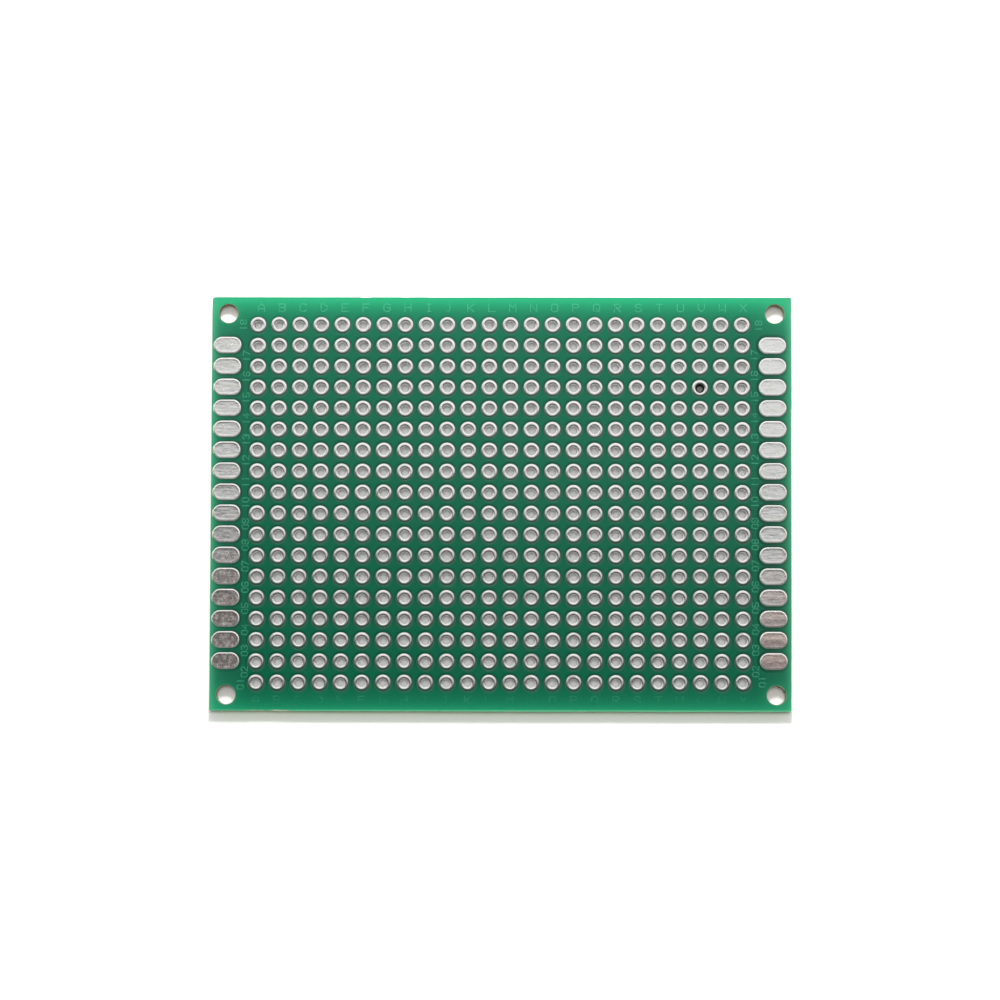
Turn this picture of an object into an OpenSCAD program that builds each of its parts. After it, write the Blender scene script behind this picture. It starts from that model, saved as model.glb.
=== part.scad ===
// Prototype circuit board: double-sided, with a square grid of plated and tinned holes,
// a column of solid solder pads along each short edge, and a mounting hole in each corner.
//
// Frame: +X runs along the long side, from column 1 to the last column. +Y runs along the short
// side, from row 1 to the last row. +Z leaves the top face. The origin is under the middle of the
// board, level with the flat tops of the bottom edge pads, which are what the board lies on.

/* [Board] */
// Length of the board, along X
board_l = 70; // [69.6:0.1:80]
// Width of the board, along Y
board_w = 50; // [48:0.5:60]
// Thickness of the bare glass-fibre laminate
laminate_t = 1.54; // [0.6:0.02:3.2]
// Thickness of the green solder mask on each face
mask_t = 0.03; // [0.015:0.005:0.05]

/* [Mounting holes] */
// Diameter of the unplated hole in each corner
mounting_hole_d = 2.3; // [1.6:0.1:2.6]
// From each edge of the board to the middle of a mounting hole
mounting_hole_inset = 2; // [1.6:0.1:2.1]
// How far the mask stays back from the rim of a mounting hole
mounting_mask_gap = 0.12; // [0.02:0.02:0.2]

/* [Hole grid] */
// Columns of plated holes, counted along X
columns = 24; // [4:1:24]
// Rows of plated holes, counted along Y
rows = 18; // [4:1:18]
// Distance between neighbouring holes, both ways
pitch = 2.54; // [2.4:0.02:2.54]
// How far the printed copper pattern lies off the middle of the board, along X
pattern_shift = -0.2; // [-0.3:0.05:0.3]

/* [Plated holes] */
// Diameter of the open hole, inside its plating
hole_d = 1; // [0.7:0.05:1.2]
// Thickness of the copper and tin on the wall of a hole
plating_t = 0.05; // [0.03:0.005:0.08]
// Outer diameter of the soldered ring round a hole
ring_d = 2; // [1.7:0.05:2.1]
// Height of the ring's rounded crest above the laminate
ring_h = 0.085; // [0.05:0.005:0.09]
// How far the solder rounds down into the hole before the wall is straight
throat_depth = 0.06; // [0.02:0.01:0.15]

/* [Edge pads] */
// Length of an edge pad, along X
edge_pad_l = 3.35; // [2.4:0.05:3.5]
// Width of an edge pad, along Y
edge_pad_w = 2; // [1.2:0.05:2.1]
// Height of an edge pad's flat top above the laminate
edge_pad_h = 0.09; // [0.09:0.005:0.14]
// Height of an edge pad's upright copper side, below its sloped rim
edge_pad_side_h = 0.035; // [0.015:0.005:0.06]
// Width of the sloped rim of solder round an edge pad
edge_pad_rim = 0.14; // [0.06:0.02:0.3]
// From the end of the board to the outer end of an edge pad, with the pattern in the middle
edge_pad_inset = 0.425; // [0.4:0.025:0.6]
// How far the mask stays back from a ring or an edge pad
pad_mask_gap = 0.05; // [0.02:0.01:0.08]

/* [Hidden] */
// Circles and arcs are drawn with this many sides.
$fn = 48;

// Where the two faces of the laminate lie.
bottom_z = edge_pad_h;
top_z = bottom_z + laminate_t;

// Half the distances between the mounting holes.
mounting_x = board_l / 2 - mounting_hole_inset;
mounting_y = board_w / 2 - mounting_hole_inset;

// From the middle of the pattern to the middle of an edge pad.
edge_pad_x = board_l / 2 - edge_pad_inset - edge_pad_l / 2;

// A ring's section is half an ellipse outside its crest, and a deeper half inside it.
ring_half_w = (ring_d - hole_d) / 4;
ring_mid_r = (ring_d + hole_d) / 4;
// Flat steps that the rounded top is made of.
ring_steps = 6;

function hole_x(column) = pattern_shift + (column - (columns + 1) / 2) * pitch;
function hole_y(row) = (row - (rows + 1) / 2) * pitch;
function two_digits(n) = str(n < 10 ? "0" : "", n);
function row_node(row) = str("plated_holes_row_", two_digits(row));

// ---- Places ----

// Each hole of one row.
module along_row(row) {
    for (column = [1:columns]) {
        translate([hole_x(column), hole_y(row)]) children();
    }
}

// Each edge pad at one end: side is -1 for the left end and 1 for the right end.
// The first and the last row have a mounting hole there instead.
module along_end(side) {
    for (row = [2:rows - 1]) {
        translate([pattern_shift + side * edge_pad_x, hole_y(row)]) children();
    }
}

// Each corner's mounting hole.
module at_corners() {
    for (x = [-mounting_x, mounting_x], y = [-mounting_y, mounting_y]) {
        translate([x, y]) children();
    }
}

// Puts a piece made on the top face at z = 0 on to the top face or, turned over, the bottom one.
module on_top() {
    translate([0, 0, top_z]) children();
}

module on_bottom() {
    translate([0, 0, bottom_z]) mirror([0, 0, 1]) children();
}

// ---- Outlines ----

module board_outline() {
    square([board_l, board_w], center = true);
}

// A bar with two round ends, as wide as they are.
module stadium(l, w) {
    square([l - w, w], center = true);
    for (x = [-1, 1]) {
        translate([x * (l - w) / 2, 0]) circle(d = w);
    }
}

// ---- Pieces ----

// The glass-fibre board, drilled for the plated holes and the mounting holes.
module laminate() {
    color("#b9b184") translate([0, 0, bottom_z]) linear_extrude(laminate_t) difference() {
        board_outline();
        for (row = [1:rows]) {
            along_row(row) circle(d = hole_d + 2 * plating_t);
        }
        at_corners() circle(d = mounting_hole_d);
    }
}

// The green lacquer on one face, open round every ring, edge pad and mounting hole.
module solder_mask() {
    color("#1f6f4f") linear_extrude(mask_t) difference() {
        board_outline();
        for (row = [1:rows]) {
            along_row(row) circle(d = ring_d + 2 * pad_mask_gap);
        }
        for (side = [-1, 1]) {
            along_end(side) stadium(edge_pad_l + 2 * pad_mask_gap, edge_pad_w + 2 * pad_mask_gap);
        }
        at_corners() circle(d = mounting_hole_d + 2 * mounting_mask_gap);
    }
}

// Points over a ring's rounded top, from its outer edge over the crest and down into the hole.
// The face of the laminate is at 0.
function ring_top() = [
    for (turn = [0:180 / ring_steps:180])
        let (fall = turn > 90 ? ring_h + throat_depth : ring_h)
        [ring_mid_r + ring_half_w * cos(turn), ring_h - fall * (1 - sin(turn))]
];

// One hole's plating: a thin copper tube with a domed ring of solder on each face.
module plated_hole() {
    rotate_extrude() polygon(concat(
        [[hole_d / 2 + plating_t, bottom_z], [hole_d / 2 + plating_t, top_z]],
        [for (p = ring_top()) [p.x, top_z + p.y]],
        [for (step = [ring_steps:-1:0]) [ring_top()[step].x, bottom_z - ring_top()[step].y]]
    ));
}

module plated_row(row) {
    color("#c9c9c6") along_row(row) plated_hole();
}

// Half of an edge pad's section: upright copper side, sloped rim, flat top.
module edge_pad_half_section() {
    polygon([
        [0, 0],
        [edge_pad_w / 2, 0],
        [edge_pad_w / 2, edge_pad_side_h],
        [edge_pad_w / 2 - edge_pad_rim, edge_pad_h],
        [0, edge_pad_h]
    ]);
}

module edge_pad_end() {
    translate([(edge_pad_l - edge_pad_w) / 2, 0, 0])
        rotate([0, 0, -90]) rotate_extrude(angle = 180) edge_pad_half_section();
}

// One edge pad: a low bar of solder with round ends.
module edge_pad() {
    rotate([90, 0, 90]) linear_extrude(edge_pad_l - edge_pad_w, center = true) {
        edge_pad_half_section();
        mirror([1, 0]) edge_pad_half_section();
    }
    edge_pad_end();
    mirror([1, 0, 0]) edge_pad_end();
}

module edge_pads(side) {
    color("#c4c3be") along_end(side) edge_pad();
}

laminate();
on_top() solder_mask();  // solder_mask_top
on_bottom() solder_mask();  // solder_mask_bottom
on_top() edge_pads(-1);  // edge_pads_top_left
on_top() edge_pads(1);  // edge_pads_top_right
on_bottom() edge_pads(-1);  // edge_pads_bottom_left
on_bottom() edge_pads(1);  // edge_pads_bottom_right
for (row = [1:rows]) {
    plated_row(row);
}
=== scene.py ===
import math
import random

import bpy
from mathutils import Euler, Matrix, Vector
from mathutils.geometry import delaunay_2d_cdt


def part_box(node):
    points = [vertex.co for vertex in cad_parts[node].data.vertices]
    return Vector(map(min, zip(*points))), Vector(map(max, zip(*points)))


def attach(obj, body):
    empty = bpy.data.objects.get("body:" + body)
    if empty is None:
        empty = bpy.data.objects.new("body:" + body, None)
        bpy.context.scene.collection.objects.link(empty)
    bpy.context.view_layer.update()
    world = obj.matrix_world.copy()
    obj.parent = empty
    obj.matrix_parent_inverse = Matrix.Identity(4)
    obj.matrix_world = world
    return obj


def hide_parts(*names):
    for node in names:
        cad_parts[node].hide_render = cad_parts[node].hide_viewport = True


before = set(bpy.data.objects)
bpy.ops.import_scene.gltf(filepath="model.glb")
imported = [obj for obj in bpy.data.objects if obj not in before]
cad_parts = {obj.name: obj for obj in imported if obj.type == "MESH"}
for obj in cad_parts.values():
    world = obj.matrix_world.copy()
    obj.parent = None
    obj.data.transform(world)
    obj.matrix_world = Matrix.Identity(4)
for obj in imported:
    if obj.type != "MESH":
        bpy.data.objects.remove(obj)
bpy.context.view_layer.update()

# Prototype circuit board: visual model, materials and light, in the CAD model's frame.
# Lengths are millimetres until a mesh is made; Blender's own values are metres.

MM = 0.001
# Seeded, so that each run gives the same small unevenness.
rng = random.Random(1826)


# ---- Sizes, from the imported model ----

def box(node):
    """A CAD node's lowest and highest corner, in millimetres."""
    low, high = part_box(node)
    return low / MM, high / MM


CORE_LOW, CORE_HIGH = box("laminate")
MASK_TOP_LOW, MASK_TOP_HIGH = box("solder_mask_top")
MASK_BOTTOM_LOW, MASK_BOTTOM_HIGH = box("solder_mask_bottom")
ROW_NODES = sorted(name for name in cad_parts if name.startswith("plated_holes_row_"))
ROWS = len(ROW_NODES)
FIRST_ROW = box(ROW_NODES[0])
LAST_ROW = box(ROW_NODES[-1])

HALF_L, HALF_W = CORE_HIGH.x, CORE_HIGH.y
RING_R = (FIRST_ROW[1].y - FIRST_ROW[0].y) / 2
PITCH = (LAST_ROW[0].y - FIRST_ROW[0].y) / (ROWS - 1)
ROW_Y = [FIRST_ROW[0].y + RING_R + PITCH * row for row in range(ROWS)]
COLUMN_X0 = FIRST_ROW[0].x + RING_R
COLUMNS = round((FIRST_ROW[1].x - RING_R - COLUMN_X0) / PITCH) + 1
COLUMN_X = [COLUMN_X0 + PITCH * column for column in range(COLUMNS)]
RING_H = LAST_ROW[1].z - CORE_HIGH.z

PAD_BOX = {side: box("edge_pads_top_" + side) for side in ("left", "right")}
PAD_L = PAD_BOX["left"][1].x - PAD_BOX["left"][0].x
PAD_W = PAD_BOX["left"][1].y - PAD_BOX["left"][0].y - PITCH * (ROWS - 3)
PAD_X = {side: (low.x + high.x) / 2 for side, (low, high) in PAD_BOX.items()}
# The pads lie a little off the middle of their row. The first and the last row have none.
PAD_SHIFT = 0.11
PAD_Y = [y + PAD_SHIFT for y in ROW_Y[1:-1]]

# These are part.scad's values, which no node's box gives.
HOLE_R = 0.5
PLATING = 0.05
MOUNT_R = 1.15
MOUNT_INSET = 2
PAD_GAP = 0.05
# The lacquer comes nearer to the mounting holes than in part.scad, as on the photographed board.
MOUNT_GAP = 0.06
MOUNT_X, MOUNT_Y = HALF_L - MOUNT_INSET, HALF_W - MOUNT_INSET
MOUNTS = [(x * MOUNT_X, y * MOUNT_Y) for x in (-1, 1) for y in (-1, 1)]
FRONT_RIGHT = 2   # the place in MOUNTS of the hole with broken fibres in it


# ---- Mesh helpers ----

SHARP_ANGLE = math.radians(35)   # edges that turn by more than this stay sharp


def circle(x, y, radius, sides):
    turn = 2 * math.pi / sides
    return [
        (x + radius * math.cos(k * turn), y + radius * math.sin(k * turn)) for k in range(sides)
    ]


def stadium(x, y, length, width, sides):
    """A closed loop round a bar with two round ends."""
    half = sides // 2
    points = []
    for end in (0, 1):
        middle = (0.5 - end) * (length - width)
        for k in range(half):
            angle = math.pi * (k / (half - 1) - 0.5 + end)
            points.append(
                (x + middle + width / 2 * math.cos(angle), y + width / 2 * math.sin(angle))
            )
    return points


def add_piece(name, points, faces, materials, replaces=(), marks=None):
    """Makes a piece that rides on the board. marks gives a material number for each face."""
    mesh = bpy.data.meshes.new(name)
    mesh.from_pydata([(x * MM, y * MM, z * MM) for x, y, z in points], [], faces)
    for material in materials:
        mesh.materials.append(material)
    if marks:
        mesh.polygons.foreach_set("material_index", marks)
    mesh.polygons.foreach_set("use_smooth", [True] * len(faces))
    mesh.set_sharp_from_angle(angle=SHARP_ANGLE)
    mesh.update()
    piece = bpy.data.objects.new(name, mesh)
    bpy.context.scene.collection.objects.link(piece)
    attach(piece, "root")
    if replaces:
        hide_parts(*replaces)
    return piece


def add_plate(name, outline, holes, z_low, z_high, materials, node):
    """A flat sheet between two heights, cut through by the given loops.

    A triangle with all its corners on one loop counts as part of that hole. That is right for a
    convex loop. On the loop from burred(), the fibres have walls but no flat faces. materials are
    one for the sheet's two faces and one for its cut walls.
    """
    flat, edges, owner = [], [], []
    for number, loop in enumerate([outline, *holes]):
        first = len(flat)
        flat += loop
        owner += [number] * len(loop)
        edges += [(first + k, first + (k + 1) % len(loop)) for k in range(len(loop))]
    _, _, triangles, sources, _, _ = delaunay_2d_cdt(
        [Vector(point) for point in flat], edges, [], 1, 1e-6
    )
    source = [came_from[0] for came_from in sources]
    count = len(flat)
    points = [(x, y, z_high) for x, y in flat] + [(x, y, z_low) for x, y in flat]
    faces = []
    for triangle in triangles:
        a, b, c = (source[k] for k in triangle)
        if owner[a] == owner[b] == owner[c] != 0:
            continue    # it fills a hole
        faces += [(a, b, c), (count + c, count + b, count + a)]
    flat_faces = len(faces)
    first = 0
    for loop in [outline, *holes]:
        ring = list(range(first, first + len(loop)))
        first += len(loop)
        if loop is not outline:
            ring.reverse()
        faces += [(a, a + count, b + count, b) for a, b in zip(ring, ring[1:] + ring[:1])]
    marks = [0] * flat_faces + [1] * (len(faces) - flat_faces)
    return add_piece(name, points, faces, materials, [node], marks=marks)


def along(stops, at):
    """The value at a place between (place, value) stops, in straight lines."""
    for (a, low), (b, high) in zip(stops, stops[1:]):
        if at <= b:
            return low + (high - low) * max(0, (at - a) / (b - a))
    return stops[-1][1]


# ---- Outline ----

# How far each rough sawn edge lies inside the nominal rectangle, at places along it.
TOP_EDGE = [(-35, 0.0), (-17, 0.0), (-16.7, 0.06), (-16.1, 0.06), (-15.8, 0.0), (-12.2, 0.0),
            (-11.6, 0.03), (-11, 0.0), (-9.1, 0.0), (-8.8, 0.02), (0, 0.0), (35, 0.0)]
RIGHT_EDGE = [(-35, 0.24), (-23.5, 0.24), (-23, 0.21), (-19.2, 0.21), (-18.8, 0.19), (-10, 0.14),
              (11, 0.08), (11.2, 0.11), (11.8, 0.03), (22, 0.02), (22.8, 0.04), (23.2, 0.01),
              (35, 0.01)]
BOTTOM_EDGE = [(-35, 0.09), (-29.2, 0.08), (-28.6, 0.11), (-27, 0.08), (-25, 0.04), (-6, 0.02),
               (5, 0.0), (12, 0.03), (22, 0.0), (24, 0.02), (30, 0.02), (35, 0.04)]
LEFT_EDGE = [(-35, 0.01), (22.5, 0.03), (35, 0.05)]
CORNER_R = (0.1, 0.12, 0.06, 0.35)   # bottom left, bottom right, top right, top left
ARC_SHARES = (0.4, 0.7)     # where a corner's arc has points, as shares of its radius
EDGE_STEP = 0.35            # between the points along a straight edge
CHIP_DEPTH = (0.05, 0.12)


def arc_drop(radius, share):
    """How far a corner's arc falls back from the edge, at a share of its radius along it."""
    return radius * (1 - math.sqrt(1 - (1 - share) ** 2))


def board_outline(extra=0.0, roughness=0.012, seed=3, chips=()):
    """The board's outline, anticlockwise from the bottom left, set in by extra.

    chips are stretches of x where the front edge is broken away unevenly.
    """
    rough = random.Random(seed)
    corners = [(-HALF_L, -HALF_W), (HALF_L, -HALF_W), (HALF_L, HALF_W), (-HALF_L, HALF_W)]
    sides = [BOTTOM_EDGE, RIGHT_EDGE, TOP_EDGE, LEFT_EDGE]

    def inset_at(k, at):
        return along(sides[k % 4], at[0] if k % 2 == 0 else at[1]) + extra

    points = []
    for k in range(4):
        start, end = Vector(corners[k]), Vector(corners[(k + 1) % 4])
        step = (end - start).normalized()
        inward = Vector((-step.y, step.x))
        # The straight part runs between the two corners' arcs.
        first, last = inset_at(k - 1, start), (end - start).length - inset_at(k + 1, end)
        arc_in, arc_out = CORNER_R[k], CORNER_R[(k + 1) % 4]
        straight = last - arc_out - first - arc_in
        steps = round(straight / EDGE_STEP)
        # Each station is a distance along the edge, an arc's drop there, and the roughness.
        stations = [(first + arc_in * share, arc_drop(arc_in, share), 0) for share in ARC_SHARES]
        stations += [(first + arc_in + straight * j / steps, 0, roughness)
                     for j in range(steps + 1)]
        stations += [(last - arc_out * share, arc_drop(arc_out, share), 0)
                     for share in reversed(ARC_SHARES)]
        for distance, drop, jitter in stations:
            at = start + step * distance
            inset = inset_at(k, at) + drop + jitter * rough.random()
            if k == 0 and any(low < at.x < high for low, high in chips):
                inset += rough.uniform(*CHIP_DEPTH)
            points.append(tuple(at + inward * inset))
    return points


# ---- Material helpers ----

class Value:
    """A number in a node tree, so that sums of nodes read as sums."""

    def __init__(self, tree, socket):
        self.tree, self.socket = tree, socket

    def math(self, operation, *others):
        node = self.tree.nodes.new("ShaderNodeMath")
        node.operation = operation
        for slot, value in zip(node.inputs, (self, *others)):
            if isinstance(value, Value):
                self.tree.links.new(value.socket, slot)
            else:
                slot.default_value = value
        return Value(self.tree, node.outputs[0])

    def __add__(self, other):
        return self.math("ADD", other)

    def __sub__(self, other):
        return self.math("SUBTRACT", other)

    def __mul__(self, other):
        return self.math("MULTIPLY", other)

    def smooth(self, low, high):
        """0 at low and past it, 1 at high and past it, smooth between. low may be the larger."""
        node = self.tree.nodes.new("ShaderNodeMapRange")
        node.interpolation_type = "SMOOTHSTEP"
        self.tree.links.new(self.socket, node.inputs["Value"])
        node.inputs["From Min"].default_value = min(low, high)
        node.inputs["From Max"].default_value = max(low, high)
        node.inputs["To Min"].default_value = 0 if low < high else 1
        node.inputs["To Max"].default_value = 1 if low < high else 0
        return Value(self.tree, node.outputs["Result"])


class Look:
    """A material on one Principled shader. constants are set on the shader itself."""

    def __init__(self, name, **constants):
        self.material = bpy.data.materials.new(name)
        self.material.use_nodes = True
        self.tree = self.material.node_tree
        self.shader = self.tree.nodes["Principled BSDF"]
        for key, value in constants.items():
            self.shader.inputs[key.replace("_", " ")].default_value = value
        self.place = self.tree.nodes.new("ShaderNodeTexCoord").outputs["Object"]

    def xyz(self):
        """The place on the board in millimetres."""
        node = self.tree.nodes.new("ShaderNodeSeparateXYZ")
        self.tree.links.new(self.place, node.inputs[0])
        return [Value(self.tree, socket) * (1 / MM) for socket in node.outputs]

    def noise(self, size, detail=2.0, roughness=0.5, stretch=(1, 1, 1)):
        """Noise from 0 to 1. Its lumps are about size millimetres across, times stretch."""
        node = self.tree.nodes.new("ShaderNodeMapping")
        node.inputs["Scale"].default_value = [1 / (size * MM * s) for s in stretch]
        self.tree.links.new(self.place, node.inputs["Vector"])
        texture = self.tree.nodes.new("ShaderNodeTexNoise")
        texture.inputs["Scale"].default_value = 1
        texture.inputs["Detail"].default_value = detail
        texture.inputs["Roughness"].default_value = roughness
        self.tree.links.new(node.outputs[0], texture.inputs["Vector"])
        return Value(self.tree, texture.outputs[0])

    def mix(self, amount, low, high):
        """A colour between low and high, each a colour or another mix."""
        node = self.tree.nodes.new("ShaderNodeMix")
        node.data_type = "RGBA"
        node.clamp_factor = True
        self.tree.links.new(amount.socket, node.inputs[0])
        for slot, colour in ((node.inputs[6], low), (node.inputs[7], high)):
            if isinstance(colour, tuple):
                slot.default_value = (*colour, 1)
            else:
                self.tree.links.new(colour, slot)
        return node.outputs[2]

    def to(self, name, source):
        """Links a number or a colour to one of the shader's inputs."""
        socket = source.socket if isinstance(source, Value) else source
        self.tree.links.new(socket, self.shader.inputs[name])

    def bump(self, height, distance):
        """Shades the surface as if it were raised by height times distance millimetres."""
        node = self.tree.nodes.new("ShaderNodeBump")
        node.inputs["Distance"].default_value = distance * MM
        self.tree.links.new(height.socket, node.inputs["Height"])
        self.tree.links.new(node.outputs[0], self.shader.inputs["Normal"])


def nearest_distance(value, first, step, count):
    """How far a coordinate lies past the nearest of count equal steps; negative before it."""
    index = ((value - first) * (1 / step)).math("ROUND")
    index = index.math("MAXIMUM", 0).math("MINIMUM", count - 1)
    return (value - first) - index * step


def length_of(a, b):
    return (a * a + b * b).math("SQRT")


def ring_distance(x, y):
    """How far a place on the board is from the middle of the nearest hole."""
    return length_of(
        nearest_distance(x, COLUMN_X0, PITCH, COLUMNS), nearest_distance(y, ROW_Y[0], PITCH, ROWS)
    )


def pad_distance(x, y):
    """How far a place on the board lies outside the nearest edge pad; negative inside it."""
    across = (x - (PAD_X["left"] + PAD_X["right"]) / 2).math("ABSOLUTE")
    across = (across - (PAD_X["right"] - PAD_X["left"]) / 2).math("ABSOLUTE")
    across = (across - (PAD_L - PAD_W) / 2).math("MAXIMUM", 0)
    return length_of(across, nearest_distance(y, PAD_Y[0], PITCH, len(PAD_Y))) - PAD_W / 2


# ---- Materials ----

SMUDGE = (-6.5, -9.4)                # a faint smudge on the lacquer
FRONT_LETTERS_Y = ROW_Y[0] - 2.02    # the middle of the letters along the front edge


def mask_look(name, printed=False):
    """Glossy green lacquer, painted lighter at the board's edges as a glow where light enters the
    glass fibre, and painted darker round the metal as shade.

    The printed legend is the same lacquer with a thin, patchy coat of light ink.
    """
    look = Look(name, Roughness=0.11, IOR=1.34)
    x, y, _ = look.xyz()
    side, end = x.math("ABSOLUTE"), y.math("ABSOLUTE")

    def fade(distance, reach):
        return (distance * (-1 / reach)).math("EXPONENT")

    # The lacquer's own green, cloudy. Painted light makes it a little bluer and lighter toward the
    # last rows, which lie nearer the lamps behind the board.
    base = look.mix(look.noise(4.0, 3), (0.0002, 0.064, 0.030), (0.0005, 0.072, 0.036))
    base = look.mix(look.noise(0.35, 2), base, (0.0004, 0.078, 0.039))
    base = look.mix(y.smooth(-8.0, 18.0) * 0.14, base, (0.0008, 0.15, 0.078))

    # Painted shade darkens it where it slopes down to the metal and close round the edge pads. A
    # painted reflection gives it a lighter rim on the front side of each ring.
    slope_shade = (ring_distance(x + 0.03, y - 0.09) - RING_R).math("MINIMUM", pad_distance(x, y))
    base = look.mix(slope_shade.smooth(0.34, 0.0) * 0.55, base, (0.0006, 0.016, 0.009))
    pad_shade = pad_distance(x, y).smooth(0.45, 0.25) * (x.smooth(-5.0, 5.0) * 0.3 + 0.2)
    base = look.mix(pad_shade, base, (0.0006, 0.016, 0.009))
    rim = (ring_distance(x - 0.03, y + 0.10) - RING_R).smooth(0.20, 0.02)
    base = look.mix(rim * 0.11, base, (0.12, 0.20, 0.15))

    # Painted glow: the lacquer is lighter near the outline and the mounting holes, where light
    # comes up through the fibre, paler toward the ends and lightest in a line along the front
    # edge.
    hole = length_of(side - MOUNT_X, end - MOUNT_Y) - (MOUNT_R + MOUNT_GAP)
    glow = fade(y * -1 + HALF_W, 1.36) + fade(y + HALF_W, 1.09) * 0.55
    glow = glow + fade(side * -1 + HALF_L, 0.55) * 0.7 + fade(hole, 0.5) * 0.12
    base = look.mix(glow.math("MINIMUM", 0.75), base, (0.014, 0.34, 0.150))
    base = look.mix(side.smooth(HALF_L - 5.5, HALF_L - 0.2) * 0.05, base, (0.12, 0.22, 0.18))
    base = look.mix(side.smooth(HALF_L - 1.0, HALF_L - 0.1) * 0.08, base, (0.20, 0.30, 0.26))
    base = look.mix(y.smooth(0.3 - HALF_W, 0.05 - HALF_W) * 0.48, base, (0.16, 0.48, 0.28))

    smudge = length_of(x - SMUDGE[0], y - SMUDGE[1]).smooth(1.4, 0.2) * look.noise(0.4, 3)
    base = look.mix(smudge * 0.3, base, (0.10, 0.22, 0.14))
    if printed:
        ink = look.noise(0.3, 3).smooth(0.3, 0.6) * 0.08 + 0.05
        # The letters along the front edge are worn, most of all on their lower half.
        above = y - FRONT_LETTERS_Y
        worn = look.noise(1.1, 2).smooth(0.3, 0.6) * above.smooth(-0.69, 0.11) * 0.6
        ink = ink * worn.math("MAXIMUM", above.smooth(1.0, 1.3))
        base = look.mix(ink, base, (0.20, 0.80, 0.50))
    look.to("Base Color", base)
    look.bump(look.noise(0.9, 3) + look.noise(0.12, 2) * 0.12, 0.004)
    return look.material


def laminate_look():
    """Glass cloth in yellowish resin, in thin layers.

    Its outer edges have a painted glow: a faint green emission standing for light that enters the
    board and leaves by them.
    """
    look = Look("laminate_fibre", Roughness=0.55)
    x, y, _ = look.xyz()
    base = look.mix(look.noise(0.8, 3), (0.20, 0.165, 0.070), (0.26, 0.22, 0.095))
    layers = look.noise(0.13, 2, stretch=(40, 40, 1)).smooth(0.4, 0.62)
    base = look.mix(layers * 0.45, base, (0.38, 0.345, 0.19))
    fibres = look.noise(0.06, 2, stretch=(3, 3, 1)).smooth(0.5, 0.75)
    base = look.mix(fibres * 0.35, base, (0.12, 0.10, 0.045))
    look.to("Base Color", base)
    # Painted glow: the outer edges give off a faint green light of their own.
    look.to("Emission Color", look.mix(layers, (0.15, 0.42, 0.12), (0.19, 0.40, 0.13)))
    side, end = x.math("ABSOLUTE"), y.math("ABSOLUTE")
    edge = side.smooth(HALF_L - 0.6, HALF_L - 0.1)
    edge = edge.math("MAXIMUM", end.smooth(HALF_W - 0.6, HALF_W - 0.1))
    look.to("Emission Strength", edge * 0.65)
    look.bump(look.noise(0.1, 3) + layers * 0.4, 0.010)
    return look.material


def laminate_face_look():
    """The laminate's faces, where they show past the lacquer.

    They are painted dark round the metal, as shade in the narrow gap there, olive round the
    mounting holes and pale along the chipped edges.
    """
    look = Look("laminate_face", Roughness=0.5)
    x, y, _ = look.xyz()
    side, end = x.math("ABSOLUTE"), y.math("ABSOLUTE")
    # Painted shade: the faces in the narrow gap round the metal are dark.
    flux = look.mix(look.noise(0.2, 3), (0.020, 0.070, 0.044), (0.045, 0.100, 0.064))
    grain = look.noise(0.1, 3).smooth(0.4, 0.6)
    drilled = look.mix(grain, (0.09, 0.17, 0.09), (0.16, 0.23, 0.12))
    pale = look.mix(grain, (0.14, 0.26, 0.13), (0.50, 0.54, 0.40))
    corner = side.smooth(HALF_L - 3.8, HALF_L - 3.7) * end.smooth(HALF_W - 3.4, HALF_W - 3.3)
    outer = side.smooth(HALF_L - 0.34, HALF_L - 0.3)
    outer = outer.math("MAXIMUM", end.smooth(HALF_W - 0.5, HALF_W - 0.4))
    base = look.mix(corner, flux, drilled)
    look.to("Base Color", look.mix(outer, base, pale))
    look.bump(look.noise(0.1, 2), 0.01)
    return look.material


def tin_look():
    """Bright tin solder with the faint lumps it cools with, painted dark as shade on each ring's
    outer slope.

    It is duller in random patches. Painted shade darkens the patches more toward the first rows,
    and the left and right of each ring there.
    """
    look = Look("ring_tin")
    x, y, _ = look.xyz()
    tone = look.mix(look.noise(0.7, 3, 0.6), (0.86, 0.85, 0.84), (0.75, 0.74, 0.72))
    # Random dull patches; their darkening, stronger toward the first rows, is painted shade there.
    dull_and_shade = look.noise(1.9, 1).smooth(0.58, 0.70)
    tone = look.mix(dull_and_shade * (y.smooth(8.0, -14.0) * 0.5 + 0.1), tone, (0.40, 0.39, 0.38))
    # Painted shade: the left and right of each ring are darker toward the first rows.
    side = nearest_distance(x, COLUMN_X0, PITCH, COLUMNS).math("ABSOLUTE").smooth(0.30, 0.62)
    tone = look.mix(y.smooth(9.0, -12.0) * (side * 0.42 + 0.04), tone, (0.36, 0.35, 0.34))
    # Painted shade on the ring's outer slope: widest on its front side, and more so toward the
    # first rows.
    nearer = y.smooth(8.0, -18.0) * 0.05
    foot_shade = (ring_distance(x - 0.005, y - 0.11 - nearer) + nearer * 0.9).smooth(0.865, 0.955)
    tone = look.mix(foot_shade, tone, (0.026, 0.060, 0.043))
    look.to("Base Color", tone)
    look.to("Metallic", foot_shade * -0.9 + 0.94)
    look.to("Roughness", look.noise(0.25, 2) * 0.10 + dull_and_shade * 0.12 + 0.06)
    look.bump(look.noise(0.3, 3, 0.6), 0.008)
    return look.material


def barrel_look():
    """The bright tin on the wall inside a hole."""
    look = Look("barrel_tin", Metallic=0.6)
    look.to("Base Color", look.mix(look.noise(0.4, 2), (0.87, 0.87, 0.86), (0.77, 0.77, 0.75)))
    look.to("Roughness", look.noise(0.25, 2) * 0.10 + 0.22)
    look.bump(look.noise(0.3, 2), 0.008)
    return look.material


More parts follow.
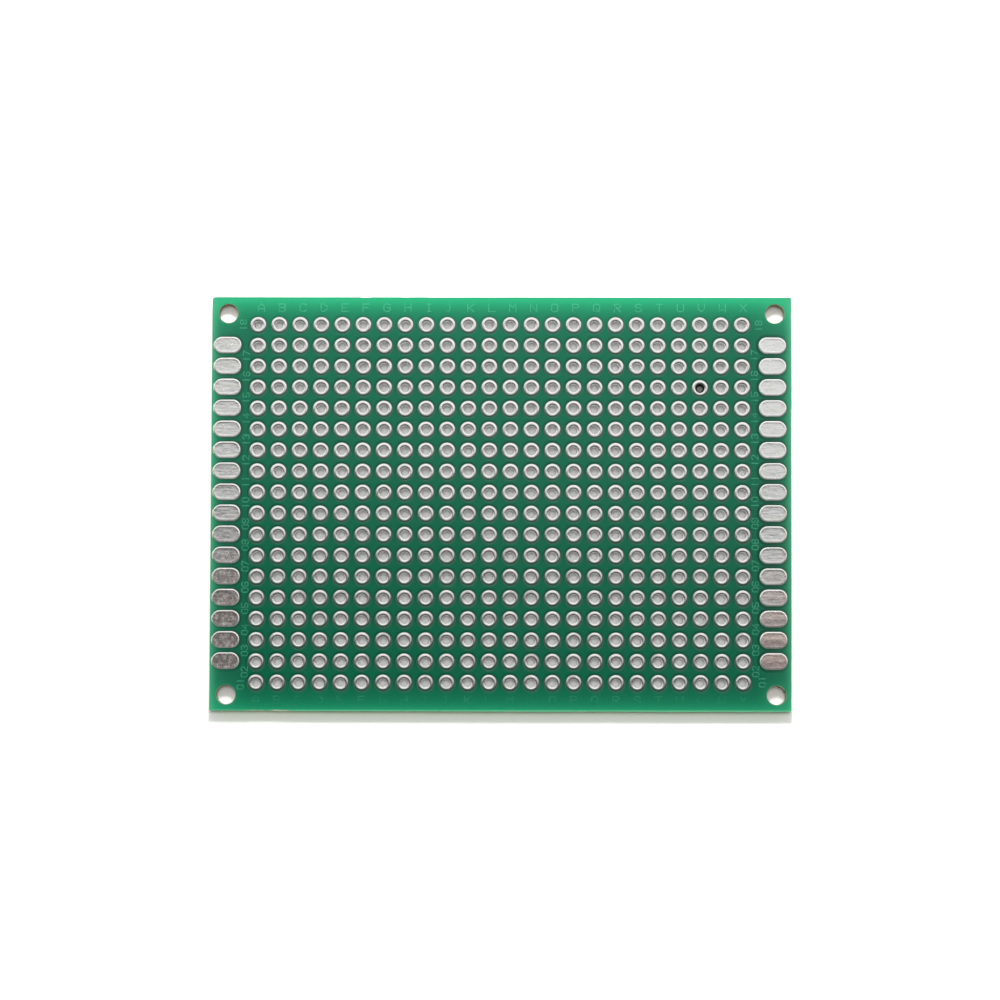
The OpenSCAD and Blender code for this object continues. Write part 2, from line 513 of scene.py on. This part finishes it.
def pad_look():
    """Solder levelled by hot air: wiped in streaks, blotched with tarnish, and painted darker
    toward the first rows as darker reflections.

    The darkening is grey and blotched at the left end. At the right end it is pinkish, and darker
    on the lower half of each pad.
    """
    look = Look("edge_pad_tin")
    x, y, _ = look.xyz()
    right = x.smooth(-5.0, 5.0)
    deep = pad_distance(x, y) * -1

    # Clean solder has streaks and smears, fewer of them in the last rows of the right end.
    streaks = look.noise(0.3, 3, 0.6, stretch=(5, 1, 1))
    smear = right * y.smooth(-2.0, 12.0) * -0.6 + 1
    smears = look.noise(0.9, 4, 0.7).smooth(0.5, 0.75) * smear * 0.5
    light = look.mix(right, (0.97, 0.97, 0.95), (0.90, 0.90, 0.88))
    clean = look.mix(streaks.smooth(0.25, 0.75) * smear, light, (0.79, 0.79, 0.76))
    clean = look.mix(smears, clean, (0.60, 0.58, 0.55))

    # Tarnish with painted darker reflection: grey at the left end, pink at the right one.
    blotches = look.noise(0.6, 4, 0.65, stretch=(0.8, 1.3, 1)).smooth(0.28, 0.62)
    grey = look.mix(blotches, (0.84, 0.785, 0.74), (0.41, 0.365, 0.345))
    bands = look.noise(0.7, 4, 0.6, stretch=(2.5, 1, 1))
    below = (y + (PITCH / 2 - PAD_Y[0])).math("FLOORED_MODULO", PITCH) - PITCH / 2
    below = (below + bands * 0.9 - 0.45).smooth(0.15, -0.10)
    pink = look.mix(below * 0.75, (0.93, 0.76, 0.69), (0.44, 0.35, 0.35))
    pink = look.mix(look.noise(0.25, 3).smooth(0.5, 0.8) * 0.5, pink, (0.85, 0.78, 0.74))

    # The tarnish and its painted darkening start some rows lower at the right end, and leave each
    # pad's rim bright.
    dull_and_shade = (y * -1 + 1.0 + right * -6.0).smooth(0.0, 13.0)
    dull_and_shade = dull_and_shade * (deep.smooth(0.04, 0.26) * 0.85 + 0.15)
    look.to("Base Color", look.mix(dull_and_shade, clean, look.mix(right, grey, pink)))
    look.to("Metallic", deep.smooth(0.0, 0.18) * 0.37 + 0.60)
    look.to("Roughness", streaks * 0.06 + dull_and_shade * 0.08 + 0.09)
    look.bump(streaks * 0.5 + look.noise(1.1, 2) * 0.8 + blotches * dull_and_shade * 0.4, 0.014)
    return look.material


def bare_look():
    """The wall and the plug of the one hole that is dark, with painted light making the plug's
    middle paler.
    """
    look = Look("bare_hole_wall", Roughness=0.8)
    x, y, _ = look.xyz()
    # Painted light: a paler patch on the plug's middle, a little toward the front.
    middle = (ring_distance(x, y + 0.08) + look.noise(0.2, 2) * 0.1).smooth(0.42, 0.34)
    core = look.mix(look.noise(0.15, 3), (0.04, 0.04, 0.04), (0.12, 0.12, 0.115))
    look.to("Base Color", look.mix(middle, (0.006, 0.006, 0.006), core))
    look.bump(look.noise(0.1, 2), 0.01)
    return look.material


MASK = mask_look("solder_mask_green")
LEGEND = mask_look("legend_print", printed=True)
LAMINATE = laminate_look()
LAMINATE_FACE = laminate_face_look()
TIN = tin_look()
BARREL = barrel_look()
PAD_TIN = pad_look()
BARE = bare_look()


# ---- Board ----

# How many sides the loops have that are cut out of the laminate and the lacquer. The edge pads
# have as many as their openings.
DRILLED_SIDES = 16
OPENING_SIDES = 32
MOUNT_SIDES = 64
PAD_SIDES = 48
FIBRE_LENGTH = (0.02, 0.14)   # broken fibres, as shares of the hole's radius
FRONT_CHIPS = [(-30.2, -28.4), (-27.6, -25.2), (0.8, 1.6)]


def burred(loop, middle, start, end):
    """A drilled hole's loop with broken fibres left between two angles, in degrees."""
    points = []
    for x, y in loop:
        dx, dy = x - middle[0], y - middle[1]
        angle = math.degrees(math.atan2(dy, dx))
        scale = 1 - rng.uniform(*FIBRE_LENGTH) if start < angle < end else 1
        points.append((middle[0] + dx * scale, middle[1] + dy * scale))
    return points


def add_laminate():
    """The board itself, drilled for the plated holes and the mounting holes."""
    drilled = [circle(x, y, HOLE_R + PLATING, DRILLED_SIDES) for y in ROW_Y for x in COLUMN_X]
    mounts = [circle(x, y, MOUNT_R, MOUNT_SIDES) for x, y in MOUNTS]
    mounts[FRONT_RIGHT] = burred(mounts[FRONT_RIGHT], MOUNTS[FRONT_RIGHT], 15, 75)
    add_plate("core", board_outline(), drilled + mounts, CORE_LOW.z, CORE_HIGH.z,
              [LAMINATE_FACE, LAMINATE], "laminate")


def add_masks():
    """The lacquer on both faces, open round the rings, the edge pads and the mounting holes."""
    outline = board_outline(extra=0.004, roughness=0.01, seed=5, chips=FRONT_CHIPS)
    openings = [circle(x, y, RING_R + PAD_GAP, OPENING_SIDES) for y in ROW_Y for x in COLUMN_X]
    openings += [circle(x, y, MOUNT_R + MOUNT_GAP, MOUNT_SIDES) for x, y in MOUNTS]
    openings += [
        stadium(PAD_X[side], y, PAD_L + 2 * PAD_GAP, PAD_W + 2 * PAD_GAP, PAD_SIDES)
        for side in PAD_X for y in PAD_Y
    ]
    for name, low, high in (("top", MASK_TOP_LOW, MASK_TOP_HIGH),
                            ("bottom", MASK_BOTTOM_LOW, MASK_BOTTOM_HIGH)):
        add_plate("mask_" + name, outline, openings, low.z, high.z, [MASK, MASK],
                  "solder_mask_" + name)


add_laminate()
add_masks()


# ---- Plated holes ----

# Radius and height over the laminate, from a ring's outer edge over its crest into the hole.
RING_SECTION = [
    (1.000, 0.000), (0.990, 0.035), (0.955, 0.052), (0.900, 0.066), (0.830, 0.078),
    (0.760, 0.084), (0.700, 0.085), (0.640, 0.079), (0.585, 0.062), (0.540, 0.030),
    (0.508, -0.020), (0.500, -0.070),
]
# A hole's wall is its tube and this many faces of the section at each end of it.
WALL_FACES = 2
RING_SIDES = 24
OFF_CENTRE = 0.03        # how far a hole's mouth may lie off the middle of its ring

# Column and row, counted from 0. One hole is blocked and dark, and one ring has a nib of solder.
DARK_HOLE = (COLUMNS - 3, ROWS - 4)
DARK_HOLE_WIDER = 0.03
NIB_RING = (0, 0)
NIB_ANGLE = -math.pi / 2 - 0.15
NIB_RADII = (0.55, 0.75)
NIB_H = 0.03
NIB_REACH = 0.2          # how far it runs out round the ring, in radians

# The flux that blocks the dark hole: the heights of its flat bottom and its sunken middle, and the
# radius and height of each loop between them.
PLUG_BOTTOM, PLUG_MIDDLE = 0.9, 1.26
PLUG_LOOPS = [(0.52, PLUG_BOTTOM), (0.52, 1.45), (0.35, 1.33)]


class Wobble:
    """A smooth closed curve of small random height round a ring."""

    def __init__(self, *sizes):
        self.waves = [
            (k + 1, size * rng.uniform(0.3, 1), rng.uniform(0, 2 * math.pi))
            for k, size in enumerate(sizes)
        ]

    def __call__(self, angle):
        return sum(size * math.cos(count * angle - phase) for count, size, phase in self.waves)


def plated_hole(points, faces, x, y, wider, nib):
    """Adds one plated hole: its two rings of solder and the tube between them.

    Its mouth is larger by wider, and nib says whether the top ring has one.
    Returns the number of points in its section, which are also the faces between two sections.
    """
    outer = Wobble(0.012, 0.008, 0.006)
    inner = Wobble(0.0, 0.012, 0.01)
    height = Wobble(0.07, 0.05, 0.03)
    off_x, off_y = rng.uniform(-OFF_CENTRE, OFF_CENTRE), rng.uniform(-OFF_CENTRE, OFF_CENTRE)
    first = len(points)
    section = [(r, h, 1, CORE_HIGH.z) for r, h in RING_SECTION]
    section += [(r, h, -1, CORE_LOW.z) for r, h in reversed(RING_SECTION)]
    for k in range(RING_SIDES):
        angle = 2 * math.pi * k / RING_SIDES
        for r, h, face, zero in section:
            # share is 0 at the ring's outer edge and 1 at the mouth of the hole.
            share = (RING_R - r) / (RING_R - HOLE_R)
            radius = r + (1 - share) * min(0, outer(angle) - 0.01) + share * inner(angle) * 0.6
            radius += share * wider
            lift = h * min(1, 0.9 + height(angle) * (1 if h > 0 else 0))
            if nib and face == 1 and NIB_RADII[0] < r < NIB_RADII[1]:
                turn = (angle - NIB_ANGLE + math.pi) % (2 * math.pi) - math.pi
                lift += NIB_H * math.exp(-(turn / NIB_REACH) ** 2)
            points.append((
                x + off_x * share + radius * math.cos(angle),
                y + off_y * share + radius * math.sin(angle),
                zero + face * min(lift, RING_H),
            ))
        tube = HOLE_R + PLATING
        for z in (CORE_LOW.z, CORE_HIGH.z):
            points.append((x + tube * math.cos(angle), y + tube * math.sin(angle), z))
    count = len(section) + 2
    for k in range(RING_SIDES):
        a = first + k * count
        b = first + (k + 1) % RING_SIDES * count
        for j in range(count):
            n = (j + 1) % count
            faces.append((a + j, b + j, b + n, a + n))
    return count


def plug(points, faces, x, y):
    """Adds the flux that blocks a hole: a short core, lower in the middle."""
    first = len(points)
    for r, z in PLUG_LOOPS:
        points += [(*place, z) for place in circle(x, y, r, RING_SIDES)]
    points += [(x, y, PLUG_BOTTOM), (x, y, PLUG_MIDDLE)]
    top_loop = first + (len(PLUG_LOOPS) - 1) * RING_SIDES
    bottom = top_loop + RING_SIDES
    for k in range(RING_SIDES):
        n = (k + 1) % RING_SIDES
        for loop in range(first, top_loop, RING_SIDES):
            a, b = loop + k, loop + n
            faces.append((a, b, b + RING_SIDES, a + RING_SIDES))
        faces.append((first + n, first + k, bottom))
        faces.append((top_loop + k, top_loop + n, bottom + 1))


def add_plated_row(row, node):
    """One row of plated holes. Their faces are ring tin, barrel tin, or bare in the dark hole."""
    points, faces, marks = [], [], []
    mouth = len(RING_SECTION) - 1
    wall = range(mouth - WALL_FACES, mouth + WALL_FACES + 1)
    for column, x in enumerate(COLUMN_X):
        dark = (column, row) == DARK_HOLE
        count = plated_hole(points, faces, x, ROW_Y[row], wider=DARK_HOLE_WIDER if dark else 0.0,
                            nib=(column, row) == NIB_RING)
        marks += [(2 if dark else 1) if j in wall else 0 for j in range(count)] * RING_SIDES
        if dark:
            holes = len(faces)
            plug(points, faces, x, ROW_Y[row])
            marks += [2] * (len(faces) - holes)
    add_piece("rings_" + node[-2:], points, faces, [TIN, BARREL, BARE], [node],
              marks=marks)


for row, node in enumerate(ROW_NODES):
    add_plated_row(row, node)


# ---- Edge pads ----

# Distance in from a pad's edge, and height over the laminate. The solder stands a little higher
# along the rim.
PAD_SECTION = [(0.01, 0), (0.012, 0.045), (0.025, 0.066), (0.05, 0.080), (0.09, 0.088),
               (0.14, 0.090), (0.20, 0.088), (0.28, 0.085), (0.40, 0.083), (0.60, 0.083),
               (0.80, 0.083)]


def edge_pad(points, faces, x, y, face, zero):
    """Adds one edge pad on the face whose level is zero, on the side that face points to."""
    first = len(points)
    rim = Wobble(0.008, 0.008, 0.006)
    for inset, height in PAD_SECTION:
        loop = stadium(0, 0, PAD_L - 2 * inset, PAD_W - 2 * inset, PAD_SIDES)
        for k, (px, py) in enumerate(loop):
            scale = 1 + min(0, rim(2 * math.pi * k / PAD_SIDES) - 0.006) * (1 - inset)
            points.append((x + px * scale, y + py * scale, zero + face * height))
    loops = len(PAD_SECTION)
    for j in range(loops - 1):
        for k in range(PAD_SIDES):
            a, b = first + j * PAD_SIDES + k, first + j * PAD_SIDES + (k + 1) % PAD_SIDES
            quad = (a, b, b + PAD_SIDES, a + PAD_SIDES)
            faces.append(quad if face == 1 else quad[::-1])
    inner = list(range(first + (loops - 1) * PAD_SIDES, first + loops * PAD_SIDES))
    base = list(range(first, first + PAD_SIDES))
    faces.append(tuple(inner if face == 1 else inner[::-1]))
    faces.append(tuple(base[::-1] if face == 1 else base))


def add_pads(side, name, face, zero):
    """The edge pads at one end of one face."""
    points, faces = [], []
    for y in PAD_Y:
        edge_pad(points, faces, PAD_X[side], y, face, zero)
    add_piece(f"pads_{name}_{side}", points, faces, [PAD_TIN],
              [f"edge_pads_{name}_{side}"])


for side in ("left", "right"):
    add_pads(side, "top", 1, CORE_HIGH.z)
    add_pads(side, "bottom", -1, CORE_LOW.z)


# ---- Legend: the coordinates of the columns and rows ----

# Each stroke is a run of points on this grid, across and up; commas part the strokes.
GRID_W, GRID_H = 4, 6
GLYPHS = {
    "A": "00 04 26 44 40,02 42", "B": "00 06 36 45 44 33 03,33 42 41 30 00",
    "C": "45 36 16 05 01 10 30 41", "D": "00 06 26 44 42 20 00", "E": "46 06 00 40,03 33",
    "F": "46 06 00,03 33", "G": "45 36 16 05 01 10 30 41 43 23", "H": "00 06,40 46,03 43",
    "I": "20 26,10 30,16 36", "J": "16 36,26 21 10 01", "K": "00 06,46 02,13 40",
    "L": "06 00 40", "M": "00 06 23 46 40", "N": "00 06 40 46",
    "O": "10 01 05 16 36 45 41 30 10", "P": "00 06 36 45 44 33 03",
    "Q": "10 01 05 16 36 45 41 30 10,22 40", "R": "00 06 36 45 44 33 03,13 40",
    "S": "45 36 16 05 04 13 33 42 41 30 10 01", "T": "20 26,06 46", "U": "06 01 10 30 41 46",
    "V": "06 02 20 42 46", "W": "06 00 22 40 46", "X": "00 46,06 40",
    "0": "10 01 05 16 36 45 41 30 10", "1": "20 26", "2": "05 16 36 45 44 00 40",
    "3": "05 16 36 45 44 33 42 41 30 10 01,23 33", "4": "30 36 02 42",
    "5": "46 06 03 33 42 41 30 10 01", "6": "45 36 16 05 01 10 30 41 42 33 03",
    "7": "06 46 10", "8": "13 04 05 16 36 45 44 33 13,13 02 01 10 30 41 42 33",
    "9": "01 10 30 41 45 36 16 05 04 13 43",
}
STROKE = 0.13
PRINT_H = 0.008
MITRE_LEAST = 0.6    # keeps the corner of a sharp bend from running out far
# Each stroke of a word is this much higher than the last, so that no two share a plane.
STROKE_STEP = 0.0005

# Letters stand along the back and the front edge. Those at the back lie off their columns.
LETTER_W = 0.75
BACK_LETTER_H, FRONT_LETTER_H = 0.9, 0.87
BACK_LETTERS_Y = ROW_Y[-1] + 2.13
BACK_SHIFT, BACK_SHIFT_STEP = 0.36, -0.007

# Numbers read upward between the holes and the edge pads, below their row's middle. The first
# and the last one lie elsewhere, clear of the mounting holes.
NUMBER_W, NUMBER_H, NUMBER_ADVANCE = 0.5, 0.75, 0.72
NUMBER_PLACES = {
    row: ((COLUMN_X[0] - 1.38, y - 1.23), (COLUMN_X[-1] + 1.51, y - 1.1))
    for row, y in enumerate(ROW_Y)
}
NUMBER_PLACES[0] = ((COLUMN_X[0] - 1.85, ROW_Y[0] - 0.15), (COLUMN_X[-1] + 2.3, ROW_Y[0] + 0.2))
NUMBER_PLACES[ROWS - 1] = ((COLUMN_X[0] - 1.8, ROW_Y[-1]), (COLUMN_X[-1] + 2.04, ROW_Y[-1] - 0.06))


def ribbon(points, faces, path, low, face, lift):
    """Adds one printed stroke: a flat ribbon with mitred bends."""
    first, count = len(points), len(path)
    for k, at in enumerate(path):
        behind = at - path[k - 1] if k > 0 else None
        ahead = path[k + 1] - at if k < count - 1 else None
        steps = [v.normalized() for v in (behind, ahead) if v is not None]
        along_path = sum(steps, Vector((0, 0))).normalized()
        across = Vector((-along_path.y, along_path.x)) * STROKE / 2
        if len(steps) == 2:
            across /= max(MITRE_LEAST, along_path.dot(steps[0]))
        elif ahead is None:
            at = at + along_path * STROKE / 2
        else:
            at = at - along_path * STROKE / 2
        for spot in (at + across, at - across):
            for height in (PRINT_H + lift, 0):
                points.append((spot.x, spot.y, low + face * height))
    quads = []
    for k in range(count - 1):
        a, b = first + 4 * k, first + 4 * (k + 1)
        quads += [(a + 2, b + 2, b, a), (a + 3, a + 1, b + 1, b + 3),
                  (a, b, b + 1, a + 1), (a + 2, a + 3, b + 3, b + 2)]
    a, b = first, first + 4 * (count - 1)
    quads += [(a, a + 1, a + 3, a + 2), (b, b + 2, b + 3, b + 1)]
    faces += quads if face == 1 else [quad[::-1] for quad in quads]


class Print:
    """The legend on one face: low is the lacquer's level and face the side that it is on."""

    def __init__(self, low, face):
        self.low, self.face = low, face
        self.points, self.faces = [], []

    def word(self, text, x, y, width, height, advance=0.0, upward=False):
        """Adds a word centred on a place. advance is from one letter's middle to the next."""
        start = -advance * (len(text) - 1) / 2
        lift = 0.0
        for number, letter in enumerate(text):
            for stroke in GLYPHS[letter].split(","):
                path = []
                for mark in stroke.split():
                    u = start + number * advance + (int(mark[0]) / GRID_W - 0.5) * width
                    v = (int(mark[1]) / GRID_H - 0.5) * height
                    if upward:
                        u, v = -v, u
                    path.append(Vector((x + u * self.face, y + v)))
                ribbon(self.points, self.faces, path, self.low, self.face, lift)
                lift += STROKE_STEP


def add_legend(name, low, face):
    """The letters of the columns and the numbers of the rows, on one face."""
    legend = Print(low, face)
    for column, x in enumerate(COLUMN_X):
        letter = chr(ord("A") + column)
        shift = BACK_SHIFT + BACK_SHIFT_STEP * column
        legend.word(letter, x + shift, BACK_LETTERS_Y, LETTER_W, BACK_LETTER_H)
        legend.word(letter, x, FRONT_LETTERS_Y, LETTER_W, FRONT_LETTER_H)
    for row, places in NUMBER_PLACES.items():
        for x, y in places:
            legend.word(f"{row + 1:02d}", x, y, NUMBER_W, NUMBER_H, NUMBER_ADVANCE, upward=True)
    add_piece("legend_" + name, legend.points, legend.faces, [LEGEND])


add_legend("top", MASK_TOP_HIGH.z, 1)
add_legend("bottom", MASK_BOTTOM_LOW.z, -1)


# ---- Stage, light and camera, in metres ----

def add_floor():
    """A large sheet of pale paper, just under the bottom edge pads."""
    look = Look("floor_paper", Roughness=0.9)
    look.shader.inputs["Base Color"].default_value = (0.86, 0.86, 0.85, 1)
    half = 3.0
    corners = [(-half, -half, 0), (half, -half, 0), (half, half, 0), (-half, half, 0)]
    mesh = bpy.data.meshes.new("floor")
    mesh.from_pydata(corners, [], [(0, 1, 2, 3)])
    mesh.materials.append(look.material)
    floor = bpy.data.objects.new("floor", mesh)
    floor.location.z = -0.00001
    bpy.context.scene.collection.objects.link(floor)


def add_area(name, place, size, power):
    """Adds a soft lamp aimed at the board. It doesn't show in the board's metal."""
    light = bpy.data.lights.new(name, "AREA")
    light.shape = "RECTANGLE"
    light.size, light.size_y = size
    light.energy = power
    lamp = bpy.data.objects.new(name, light)
    lamp.location = place
    lamp.visible_camera = False
    lamp.visible_glossy = False
    toward_board = Vector((0, 0, 0)) - Vector(place)
    lamp.rotation_euler = toward_board.to_track_quat("-Z", "Y").to_euler()
    bpy.context.scene.collection.objects.link(lamp)


def add_world():
    """White surroundings behind the board, dim ones overhead, and grey ones low in front of it."""
    world = bpy.data.worlds.new("studio")
    world.use_nodes = True
    tree = world.node_tree
    background = tree.nodes["Background"]
    direction = tree.nodes.new("ShaderNodeTexCoord").outputs["Generated"]
    node = tree.nodes.new("ShaderNodeSeparateXYZ")
    tree.links.new(direction, node.inputs[0])
    x, y, z = (Value(tree, socket) for socket in node.outputs)
    back = y + x * (z - 0.65) * 0.55
    level = back.smooth(0.0, 0.11) * 0.61 + back.smooth(0.08, 0.32) * 0.32
    level = level + back.smooth(-0.3, 0.0) * 0.12 + 0.01
    level = level + z.smooth(0.55, 0.20) * y.smooth(0.0, -0.3) * 0.35
    tree.links.new(level.socket, background.inputs["Strength"])
    background.inputs["Color"].default_value = (1.0, 1.0, 1.0, 1)
    bpy.context.scene.world = world


def add_camera():
    """A long lens nearly straight above, a little in front of the board's middle."""
    data = bpy.data.cameras.new("camera")
    data.lens = 113.26
    data.sensor_width = 36
    data.clip_start, data.clip_end = 0.01, 10
    camera = bpy.data.objects.new("camera", data)
    camera.location = (0.00124, -0.02756, 0.37928)
    camera.rotation_euler = Euler([math.radians(turn) for turn in (4.238, 0.206, 0.090)])
    bpy.context.scene.collection.objects.link(camera)
    bpy.context.scene.camera = camera


add_floor()
# The key stands high behind the board, so the board's shadow falls toward the front.
add_area("key", (0, 0.178, 0.242), (0.04, 0.04), 0.68)
# Light from nearly straight above reaches the floor through the holes.
add_area("overhead", (0, 0.09, 1.0), (0.30, 0.32), 3.7)
# A soft panel leans over the board from behind it, near enough to light the far rows more.
add_area("panel", (0, 0.085, 0.100), (0.14, 0.06), 0.055)
add_world()
add_camera()
scene = bpy.context.scene
scene.view_settings.view_transform = "Standard"
